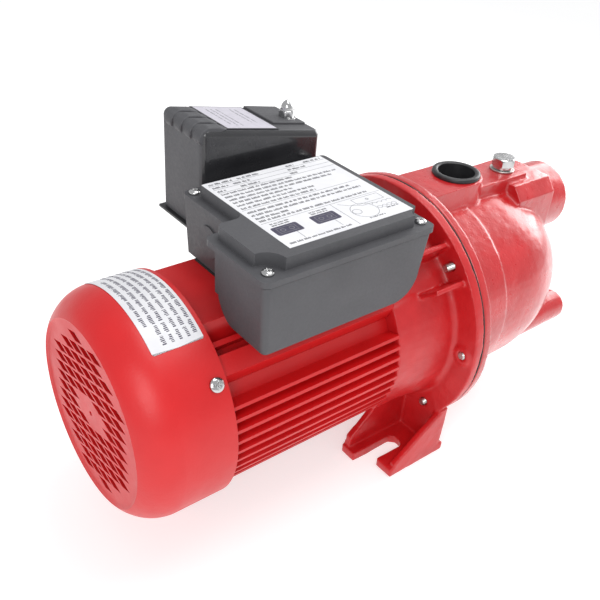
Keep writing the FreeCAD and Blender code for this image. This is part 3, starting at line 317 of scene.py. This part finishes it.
def hexagonal(bm, across, low, high, centre, axis, dome=0.6, spin=0.0):
    """Adds a hexagon head in mm whose top corners are chamfered by a cone, as on a real bolt."""
    axis, side, other = cross_axes(axis)
    apothem = across / 2
    steps = 48
    rows = []
    levels = (low, high - dome * 1.6, high - dome * 0.5, high)
    limits = (math.inf, math.inf, apothem * 1.055, apothem * 0.95)
    for level, limit in zip(levels, limits):
        row = []
        for n in range(steps):
            angle = 2 * math.pi * n / steps
            local = (angle + math.pi / 6) % (math.pi / 3) - math.pi / 6
            radius = min(apothem / math.cos(local), limit)
            out = side * math.cos(angle + spin) + other * math.sin(angle + spin)
            row.append(bm.verts.new(centre + axis * level * MM + out * radius * MM))
        rows.append(row)
    for a, b in zip(rows, rows[1:]):
        for n in range(steps):
            bm.faces.new((a[n], a[(n + 1) % steps], b[(n + 1) % steps], b[n]))
    bm.faces.new(rows[-1])
    bm.faces.new(list(reversed(rows[0])))


def phillips(bm, radius, height, centre, axis, spin=0.3):
    """Adds a pan head in mm with a crossed recess pressed into its top."""
    axis, side, other = cross_axes(axis)
    rings, turns = 22, 96
    grid = []
    arm, width, depth = radius * 0.62, radius * 0.13, height * 0.62
    for k in range(rings + 1):
        r = radius * k / rings
        row = []
        for n in range(turns):
            angle = 2 * math.pi * n / turns
            x, y = r * math.cos(angle), r * math.sin(angle)
            share = r / radius
            level = height * (1 - 0.42 * share ** 3.2)
            cross = min(max(abs(x) - arm, abs(y) - width * (1.35 - abs(x) / arm * 0.7)),
                        max(abs(y) - arm, abs(x) - width * (1.35 - abs(y) / arm * 0.7)))
            press = min(max(-cross / (radius * 0.07), 0), 1)
            reach = min(1.0, 1.15 - math.hypot(x, y) / arm * 0.75)
            level -= depth * press * max(reach, 0.25)
            out = side * math.cos(angle + spin) + other * math.sin(angle + spin)
            row.append(bm.verts.new(centre + axis * level * MM + out * r * MM) if k else None)
        grid.append(row)
    tip = bm.verts.new(centre + axis * (height - depth) * MM)
    for n in range(turns):
        bm.faces.new((tip, grid[1][n], grid[1][(n + 1) % turns]))
    for k in range(1, rings):
        for n in range(turns):
            after = (n + 1) % turns
            bm.faces.new((grid[k][n], grid[k + 1][n], grid[k + 1][after], grid[k][after]))
    skirt = []
    for level in (height * 0.3, 0.0):
        row = []
        for n in range(turns):
            angle = 2 * math.pi * n / turns
            out = side * math.cos(angle + spin) + other * math.sin(angle + spin)
            row.append(bm.verts.new(centre + axis * level * MM + out * radius * 1.03 * MM))
        skirt.append(row)
    for a, b in ((grid[rings], skirt[0]), (skirt[0], skirt[1])):
        for n in range(turns):
            after = (n + 1) % turns
            bm.faces.new((a[n], b[n], b[after], a[after]))
    bm.faces.new(list(reversed(skirt[1])))


def remeshed(name, node, material, voxel, smooth, lumps):
    """A cast copy of a CAD node: its corners melt into fillets and its skin gets the mould's unevenness."""
    mesh = nodes[node].data.copy()
    item = to_object(name, mesh, material)
    modifier(item, "REMESH", mode="VOXEL", voxel_size=voxel, adaptivity=0.0)
    modifier(item, "SMOOTH", factor=0.5, iterations=smooth)
    baked(item)
    mesh = item.data
    moves = []
    for v in mesh.vertices:
        push = 0.0
        for scale, height in lumps:
            push += noise.noise(v.co * scale) * height
        moves.append(v.co + v.normal * push)
    for v, place in zip(mesh.vertices, moves):
        v.co = place
    mesh.update()
    mesh.shade_smooth()
    mesh.materials.clear()
    mesh.materials.append(mats[material])
    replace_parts(item, node)


def refined(name, node, material, width, segments=3, angle=30):
    """A copy of a CAD node with welded points, flat faces joined up and its edges rounded."""
    bm = bmesh.new()
    bm.from_mesh(nodes[node].data)
    bmesh.ops.remove_doubles(bm, verts=bm.verts, dist=0.00001)
    bmesh.ops.dissolve_limit(bm, angle_limit=math.radians(0.4), verts=bm.verts, edges=bm.edges)
    for face in bm.faces:
        face.smooth = True
    for edge in bm.edges:
        if len(edge.link_faces) == 2 and edge.calc_face_angle(0) > math.radians(angle):
            edge.smooth = False
    item = to_object(name, bm, material, smooth=False)
    if width:
        modifier(item, "BEVEL", width=width, segments=segments, limit_method="ANGLE",
                 angle_limit=math.radians(angle), use_clamp_overlap=True)
        modifier(item, "WEIGHTED_NORMAL", keep_sharp=False, weight=80)
        baked(item)
        item.data.shade_smooth()
        modifier(item, "WEIGHTED_NORMAL", keep_sharp=False, weight=80)
    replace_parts(item, node)
    return item


def slab(bm, corners, lift, thick):
    """Adds a thin closed plate: corners are points on a surface, with that surface's normals."""
    low = [bm.verts.new(p + n * (lift * MM)) for p, n in corners]
    high = [bm.verts.new(p + n * ((lift + thick) * MM)) for p, n in corners]
    count = len(corners)
    bm.faces.new(high)
    bm.faces.new(list(reversed(low)))
    for n in range(count):
        after = (n + 1) % count
        bm.faces.new((low[n], low[after], high[after], high[n]))


def bar(bm, surface, u0, v0, u1, v1):
    """A printed rectangle on a surface."""
    slab(bm, [surface(u0, v0), surface(u1, v0), surface(u1, v1), surface(u0, v1)], 0, PRINT)


def word_row(bm, surface, rng, u0, u1, v, height, weight):
    """A row of short marks that stands for a line of small print, with no letters in it."""
    u = u0
    while u < u1:
        length = rng.uniform(1.6, 5.4) * weight
        end = min(u + length, u1)
        mark = u
        while mark < end:
            wide = rng.uniform(0.42, 0.7) * weight
            tall = height * rng.choice((1.0, 1.0, 0.7))
            bar(bm, surface, mark, v + height - tall, min(mark + wide, end), v + height)
            mark += wide + 0.24 * weight
        u = end + 0.95 * weight


def lid_surface(u, v):
    return at(LABEL_LEFT + u, LABEL_FAR - v, LID_TOP + LABEL_THICK), Vector((0, 0, 1))


def wrap_surface(u, v):
    """u mm round the fan cover from its near label edge, v mm forward from its rear edge."""
    radius = COVER_RADIUS + LABEL_THICK
    angle = math.radians(WRAP_START) + u / radius
    out = Vector((0, -math.cos(angle), math.sin(angle)))
    return at(WRAP_REAR + v, 0, 0) + out * (radius * MM), out


def line_strip(bm, surface, points, width):
    """A thin printed line through points on a surface."""
    for (u0, v0), (u1, v1) in zip(points, points[1:]):
        length = math.hypot(u1 - u0, v1 - v0) or 1
        du, dv = -(v1 - v0) / length * width / 2, (u1 - u0) / length * width / 2
        slab(bm, [surface(u0 - du, v0 - dv), surface(u1 - du, v1 - dv),
                  surface(u1 + du, v1 + dv), surface(u0 + du, v0 + dv)], 0, PRINT)


def arc_points(u, v, ru, rv, start=0, stop=360, steps=20):
    return [(u + ru * math.cos(math.radians(start + (stop - start) * k / steps)),
             v + rv * math.sin(math.radians(start + (stop - start) * k / steps))) for k in range(steps + 1)]


def make_lid_label():
    refined("lid_label_film", "rating_label", "white_label", 0)
    rng = random.Random(7)
    bm = bmesh.new()
    for v, spans in ((2.0, ((3, 20), (24, 40), (62, 68), (76, 90))), (7.0, ((3, 14), (18, 30), (60, 74))),
                     (12.2, ((3, 9), (20, 34), (58, 64)))):
        for a, b in spans:
            word_row(bm, lid_surface, rng, a, b, v, 2.0, 1.2)
    for v, end in ((16.6, 56), (20.8, 88), (25.0, 82), (29.2, 46), (33.4, 60), (37.6, 58), (43.6, 80),
                   (47.8, 86), (52.0, 26), (55.6, 84)):
        word_row(bm, lid_surface, rng, 3, end, v, 2.0, 1.2)
    for u, v in ((6, 61.6), (34, 61.6)):
        word_row(bm, lid_surface, rng, u, u + 13, v, 1.3, 0.8)
        word_row(bm, lid_surface, rng, u, u + 12, v + 2.2, 1.3, 0.8)
    word_row(bm, lid_surface, rng, 3, 47, 84.4, 1.7, 1.0)
    word_row(bm, lid_surface, rng, 62, 74, 84.2, 1.3, 0.8)
    word_row(bm, lid_surface, rng, 80, 90, 79.0, 1.3, 0.8)
    to_object("lid_label_print", bm, "print_grey", smooth=False)
    bm = bmesh.new()
    for v in (5.2, 10.4, 15.4, 41.0, 59.6):
        line_strip(bm, lid_surface, [(2, v), (92, v)], 0.3)
    line_strip(bm, lid_surface, [(52, 59.6), (52, 87.5)], 0.35)
    for u, v in ((12, 71), (39.5, 71)):
        line_strip(bm, lid_surface, [(u + 3, v + 4.4), (u + 3, v + 12.6)], 0.35)
    line_strip(bm, lid_surface, [(67, 61.5), (88, 61.5), (88, 68.5), (67, 68.5), (67, 61.5)], 0.32)
    line_strip(bm, lid_surface, arc_points(77, 65, 0.9, 0.9, steps=10), 0.5)
    line_strip(bm, lid_surface, arc_points(66, 75.5, 9.0, 8.6), 0.34)
    line_strip(bm, lid_surface, arc_points(60.5, 75.0, 3.0, 2.8), 0.34)
    for k in range(4):
        line_strip(bm, lid_surface, arc_points(77 + 3.8 * k, 72.5, 1.9, 1.6, 180, 360, 8), 0.34)
        line_strip(bm, lid_surface, arc_points(77 + 3.8 * k, 77.0, 1.6, 1.4, 0, 360, 10), 0.3)
    line_strip(bm, lid_surface, [(56, 62), (61, 66.5), (69, 70.5), (77, 70.5)], 0.34)
    to_object("lid_label_rules", bm, "print_light", smooth=False)
    bm = bmesh.new()
    inner = bmesh.new()
    for u, v in ((12, 71), (39.5, 71)):
        outline = []
        for cu, cv, start in ((7.6, 3.4, 0), (-7.6, 3.4, 90), (-7.6, -3.4, 180), (7.6, -3.4, 270)):
            outline += arc_points(u + cu, v + cv, 1.4, 1.4, start, start + 90, 4)
        slab(bm, [lid_surface(a, b) for a, b in reversed(outline)], 0, PRINT)
        for off in (-3, 3):
            line_strip(inner, lid_surface, arc_points(u + off, v, 1.5, 1.5, steps=12), 0.35)
        line_strip(inner, lid_surface, [(u - 6.2, v - 3), (u + 6.2, v - 3), (u + 6.2, v + 3),
                                        (u - 6.2, v + 3), (u - 6.2, v - 3)], 0.25)
    for vert in inner.verts:
        vert.co.z += 0.00003
    to_object("lid_label_pictures", bm, "print_slate", smooth=False)
    to_object("lid_label_picture_lines", inner, "print_light", smooth=False)


def make_cover_label():
    """The sheet is rebuilt so that it is finely curved, with rounded corners."""
    bm = bmesh.new()
    length, width, corner = 90.4, 32.4, 0.8
    columns, rows = 72, 2
    grid = []
    for i in range(columns + 1):
        u = length * i / columns
        trim = 0.0
        for edge in (u, length - u):
            if edge < corner:
                trim = corner - math.sqrt(max(corner ** 2 - (corner - edge) ** 2, 0))
        line = []
        for j in range(rows + 1):
            v = trim + (width - 2 * trim) * j / rows
            p, n = wrap_surface(u, v)
            line.append((bm.verts.new(p - n * 0.0001), bm.verts.new(p)))
        grid.append(line)
    for i in range(columns):
        for j in range(rows):
            for side in (0, 1):
                near, far = grid[i], grid[i + 1]
                quad = [near[j][side], far[j][side], far[j + 1][side], near[j + 1][side]]
                bm.faces.new(quad if side else quad[::-1])
    bmesh.ops.holes_fill(bm, edges=[e for e in bm.edges if e.is_boundary])
    film = to_object("cover_label_film", bm, "white_label")
    modifier(film, "EDGE_SPLIT", split_angle=math.radians(40))
    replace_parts(film, "cover_label")
    rng = random.Random(11)
    bm = bmesh.new()
    for v, start, end, tall in ((3.0, 18, 72, 2.5), (8.2, 4, 86, 2.5), (13.2, 4, 87, 2.5), (18.2, 4, 86, 2.5),
                                (23.2, 4, 87, 2.5), (28.0, 5, 82, 2.5)):
        u = start
        while u < end:
            stop = min(u + rng.uniform(4.0, 9.5), end)
            mark = u
            while mark < stop:
                wide = rng.uniform(0.5, 0.85)
                high = tall * rng.choice((1.0, 0.74, 0.74))
                bar(bm, wrap_surface, mark, v + tall - high, min(mark + wide, stop), v + tall)
                mark += wide + 0.46
            u = stop + 1.3
    to_object("cover_label_print", bm, "print_slate", smooth=False)


# ---- pieces -----------------------------------------------------------------------------------

LID_SCREWS = ((-167.4, -65, 0.5), (-53.6, -65, 1.0), (-54, 35.4, 0.2), (-150.5, 35.4, 0.8))
COVER_SCREWS = ((34.9, 0.5), (145.1, 0.9), (270, 0.2))
COVER_SCREW_AT = -196.0
BOLT_TIPS = {0: 1.7, 45: 6.0, 135: 6.0, 180: 1.7, 225: 2.4, 315: 2.4}
BOLT_CIRCLE = 84.3


def radial(angle):
    turn = math.radians(angle)
    return Vector((0, -math.cos(turn), math.sin(turn)))


def make_screws():
    bm = bmesh.new()
    for x, y, spin in LID_SCREWS:
        phillips(bm, 3.5, 2.5, at(x, y, LID_FLANGE), (0, 0, 1), spin)
        lathe(bm, [(-5, 0), (-5, 1.9), (0, 2), (0, 0)], at(x, y, LID_FLANGE), (0, 0, 1), 16)
    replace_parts(to_object("lid_pan_screws", bm, "bright_steel"), "lid_screws")
    bm = bmesh.new()
    for angle, spin in COVER_SCREWS:
        out = radial(angle)
        seat = at(COVER_SCREW_AT, 0, 0) + out * (COVER_RADIUS * MM)
        phillips(bm, 4.3, 2.6, seat, out, spin)
        lathe(bm, [(-10, 0), (-10, 2.3), (0, 2.5), (0, 0)], seat, out, 16)
    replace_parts(to_object("cover_pan_screws", bm, "bright_steel"), "cover_screws")


def make_bolts():
    bm = bmesh.new()
    for angle, proud in BOLT_TIPS.items():
        axis = Vector((1, 0, 0))
        centre = at(8, 0, 0) + radial(angle) * (BOLT_CIRCLE * MM)
        hexagonal(bm, 10, 0, 4, centre, axis, spin=math.radians(angle * 3))
        tip = -15.6 - proud
        turns = []
        for k in range(int((-9.5 - tip) / 1.0)):
            turns += [(tip + 0.4 + k * 1.0, 2.55), (tip + 0.9 + k * 1.0, 3.0)]
        lathe(bm, [(tip, 0), (tip, 2.1)] + turns + [(-9, 3), (0.2, 3), (0.2, 0)], centre, axis, 24)
    item = to_object("flange_bolts", bm, "steel", smooth=False)
    item.data.shade_smooth()
    modifier(item, "EDGE_SPLIT", split_angle=math.radians(30))
    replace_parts(item, "casing_bolts")


def make_plugs():
    axis = Vector((0, 0, 1))
    place = at(109, 0, 82)
    bm = bmesh.new()
    hexagonal(bm, 17, 4.4, 10.6, place, axis, dome=1.1, spin=0.35)
    profile = [(-12, 0), (-12, 5)]
    for k in range(9):
        profile += [(-11.6 + k * 1.3, 5.5), (-11 + k * 1.3, 6.0)]
    profile += [(1.2, 6), (1.4, 6), (1.4, 7.3), (1.9, 7.8), (3.9, 7.8), (4.4, 7.4), (4.5, 0)]
    lathe(bm, profile, place, axis, 40)
    item = to_object("priming_plug_hex", bm, "bright_steel", body="plug")
    modifier(item, "EDGE_SPLIT", split_angle=math.radians(30))
    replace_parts(item, "prime_plug")
    bm = bmesh.new()
    rings = lathe(bm, [(0, 6.4), (0, 9.3), (0.3, 9.6), (1.1, 9.6), (1.4, 9.3), (1.4, 6.4)], place, axis, 64)
    for n in range(64):
        after = (n + 1) % 64
        bm.faces.new((rings[-1][n], rings[-1][after], rings[0][after], rings[0][n]))
    item = to_object("priming_plug_ring", bm, "steel", body="washer")
    modifier(item, "EDGE_SPLIT", split_angle=math.radians(30))
    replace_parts(item, "prime_plug_washer")
    place = at(53.6, 0, 90)
    bm = bmesh.new()
    ribs = []
    for k in range(4):
        ribs += [(-11 + k * 2.6, 15.0), (-10.2 + k * 2.6, 15.1), (-9.4 + k * 2.6, 14.7)]
    rim = [(-0.5, 15), (0, 15.3), (0, 17.6), (0.4, 18), (2.2, 18), (2.8, 17.5), (3.0, 16.6), (3.0, 14.6)]
    cup = [(2.4, 13.9), (-2, 13.6), (-10.4, 13.2), (-11, 12.6), (-11, 0)]
    lathe(bm, [(-13, 0), (-13, 14.4)] + ribs + rim + cup, place, axis, 72)
    item = to_object("port_cup_plug", bm, "black_plastic", body="shipping_plug")
    modifier(item, "EDGE_SPLIT", split_angle=math.radians(42))
    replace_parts(item, "discharge_shipping_plug")


def switch_top(x):
    """The height of the switch cover's sloped top, in the shaft frame."""
    return SWITCH_HIGH - SWITCH_DROP * (x - SWITCH_REAR) / SWITCH_RUN


def make_switch_details():
    place = at(-58, 66, 0)
    axis = Vector((0, 0, 1))
    bm = bmesh.new()
    hexagonal(bm, 10, 131.5, 136.6, place, axis, dome=0.5, spin=0.4)
    dome = [(136.5, 4.45), (137.4, 4.4), (138.6, 4.25), (140, 3.8), (141.4, 2.9), (142.5, 1.7), (143.2, 0.6),
            (143.4, 0)]
    foot = [(130.6, 0), (130.6, 6.2), (130.9, 6.4), (131.4, 6.2), (131.6, 5.2), (136.4, 4.5)]
    lathe(bm, foot + dome, place, axis, 48)
    item = to_object("dome_nut", bm, "bright_steel")
    modifier(item, "EDGE_SPLIT", split_angle=math.radians(32))
    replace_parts(item, "acorn_nut")

    def deck(u, v):
        slope = Vector((SWITCH_DROP, 0, SWITCH_RUN)).normalized()
        return at(u, v, switch_top(u)), slope

    bm = bmesh.new()
    pad = [(-78, 55), (-50, 55), (-50, 90), (-78, 90)]
    slab(bm, [deck(*p) for p in pad], -0.3, 1.9)
    item = to_object("switch_top_pad", bm, "grey_plastic", smooth=False)
    softened(item, 0.0007, 3)
    bm = bmesh.new()
    slab(bm, [deck(*p) for p in ((-121, 45.5), (-79.5, 45.5), (-79.5, 90.5), (-121, 90.5))], -0.2, 0.5)
    item = to_object("switch_label_frame", bm, "print_frame", smooth=False)
    softened(item, 0.0002, 2)
    bm = bmesh.new()
    slab(bm, [deck(*p) for p in ((-119.6, 46.6), (-80.8, 46.6), (-80.8, 89.4), (-119.6, 89.4))], 0.3, 0.08)
    to_object("switch_label_film", bm, "lilac_label", smooth=False)
    bm = bmesh.new()
    rng = random.Random(5)

    def film(u, v):
        p, n = deck(-118 + v, 87 - u)
        return p + n * 0.00038, n
    for v in (5, 9, 13, 24, 28):
        word_row(bm, film, rng, 3, rng.uniform(26, 37), v, 1.2, 1.1)
    to_object("switch_label_print", bm, "print_light", smooth=False)

    bm = bmesh.new()
    for y in (48.5, 60, 71.5, 83):
        path = [(-120, switch_top(-120) + 0.1), (-126, switch_top(-126) + 1.4),
                (-134.5, switch_top(-134.5) + 1.3), (-139.2, 142.4), (-141.4, 139), (-141.7, 136), (-140.0, 133)]
        back = [(-137.5, 134), (-137.5, 138), (-125, 139)]
        outline = path + back
        near = [bm.verts.new(at(x, y - 3.9, z)) for x, z in outline]
        far = [bm.verts.new(at(x, y + 3.9, z)) for x, z in outline]
        bm.faces.new(near)
        bm.faces.new(list(reversed(far)))
        for n in range(len(outline)):
            after = (n + 1) % len(outline)
            bm.faces.new((near[after], near[n], far[n], far[after]))
    bmesh.ops.recalc_face_normals(bm, faces=bm.faces)
    item = to_object("switch_cover_ridges", bm, "grey_plastic", smooth=False)
    softened(item, 0.0012, 4, 20)


def paint_switch_cover(item):
    """The near face is glossy black; the ends and the top are the matte grey of the moulding."""
    item.data.materials.append(mats["black_cover"])
    for face in item.data.polygons:
        if face.normal.y < -0.5:
            face.material_index = 1


def paint_shade_inside(item):
    """Paints shade on the inside of the fan cover. Its inward faces and the back of the grille get a dark red
    that stands for shade, so that the grille's slots read as openings.
    """
    item.data.materials.append(mats["red_inside"])
    for face in item.data.polygons:
        out = Vector((0, face.center.y, face.center.z - SHAFT * MM))
        inward = face.normal.dot(out.normalized()) < -0.5 and out.length > 0.06
        if inward or face.normal.x > 0.5 and face.center.x < -0.19:
            face.material_index = 1


def paint_nodes():
    slots = {entry["node"]: entry["material_slot"] for entry in frame["record"]["subparts"]}
    for name, item in nodes.items():
        item.data.materials.clear()
        item.data.materials.append(mats[slots[name]])


def build():
    paint_nodes()
    casing_lumps = ((26, 0.00035), (80, 0.00018), (190, 0.00012))
    remeshed("casing_casting", "pump_casing", "red_casting", 0.001, 4, casing_lumps)
    bracket_lumps = ((40, 0.0004), (140, 0.0002))
    remeshed("bracket_casting", "motor_bracket", "red_bracket", 0.001, 4, bracket_lumps)
    refined("finned_frame", "motor_frame", "red_coat", 0.0005, segments=2)
    cowl = refined("fan_cowl", "fan_cover", "red_coat", 0.00035, segments=2, angle=40)
    # painted shade on the fan cover's inside faces and the back of its grille
    paint_shade_inside(cowl)
    refined("box_moulding", "terminal_box", "grey_plastic", 0.0009)
    refined("lid_moulding", "terminal_box_lid", "grey_plastic", 0.0009)
    paint_switch_cover(refined("switch_moulding", "switch_cover", "grey_plastic", 0.0006))
    refined("switch_rim", "switch_base_plate", "black_plastic", 0.0004)
    make_lid_label()
    make_cover_label()
    make_screws()
    make_bolts()
    make_plugs()
    make_switch_details()


# ---- studio -----------------------------------------------------------------------------------

CAMERA_PLACE = (-0.34226, -0.34156, 0.42309)
CAMERA_TURN = (40.621, 33.362, 4.965)   # yaw, pitch and roll in degrees
CAMERA_LENS, CAMERA_SENSOR = 46.851, 36.0


def make_camera():
    yaw, pitch, roll = (math.radians(angle) for angle in CAMERA_TURN)
    ahead = Vector((math.sin(yaw) * math.cos(pitch), math.cos(yaw) * math.cos(pitch), -math.sin(pitch)))
    level = Vector((math.cos(yaw), -math.sin(yaw), 0))
    upright = level.cross(ahead)
    right = level * math.cos(roll) + upright * math.sin(roll)
    up = upright * math.cos(roll) - level * math.sin(roll)
    camera = bpy.data.objects.new("camera", bpy.data.cameras.new("camera"))
    bpy.context.scene.collection.objects.link(camera)
    turn = Matrix((right, up, -ahead)).transposed()
    camera.matrix_world = Matrix.Translation(Vector(CAMERA_PLACE)) @ turn.to_4x4()
    camera.data.sensor_width = CAMERA_SENSOR
    camera.data.lens = CAMERA_LENS
    camera.data.clip_start = 0.01
    bpy.context.scene.camera = camera


def area_light(name, place, target, size, power):
    data = bpy.data.lights.new(name, "AREA")
    data.shape = "RECTANGLE"
    data.size, data.size_y = size
    data.energy = power
    lamp = bpy.data.objects.new(name, data)
    bpy.context.scene.collection.objects.link(lamp)
    lamp.location = place
    lamp.rotation_mode = "QUATERNION"
    lamp.rotation_quaternion = (Vector(target) - Vector(place)).to_track_quat("-Z", "Y")


def make_studio():
    bm = bmesh.new()
    bmesh.ops.create_grid(bm, x_segments=8, y_segments=8, size=4.0)
    mesh = bpy.data.meshes.new("floor")
    bm.to_mesh(mesh)
    bm.free()
    floor = bpy.data.objects.new("floor", mesh)
    bpy.context.scene.collection.objects.link(floor)
    paint = Paint("floor_paint", (0.62, 0.62, 0.62), 0.9)
    paint.colour(paint.cells(2, 2), (0.64, 0.64, 0.64), 0.4, 0.6)
    paint.shader.inputs["Emission Color"].default_value = (1, 1, 1, 1)
    paint.shader.inputs["Emission Strength"].default_value = 0.55
    floor.data.materials.append(paint.material)
    world = bpy.data.worlds.new("studio")
    world.use_nodes = True
    sky = world.node_tree.nodes["Background"]
    sky.inputs["Color"].default_value = (0.98, 0.985, 1.0, 1)
    sky.inputs["Strength"].default_value = 0.62
    bpy.context.scene.world = world
    bpy.context.scene.view_settings.view_transform = "Standard"
    area_light("key", (-0.85, -0.75, 0.75), (-0.12, 0, 0.1), (0.5, 0.5), 4.6)
    area_light("top", (0.25, -0.1, 1.3), (0, 0, 0.1), (0.9, 0.7), 7)
    area_light("end", (0.95, 0.1, 0.45), (0.1, 0, 0.12), (0.7, 0.6), 6)


mats = make_materials()
build()
make_camera()
make_studio()
bpy.context.view_layer.update()
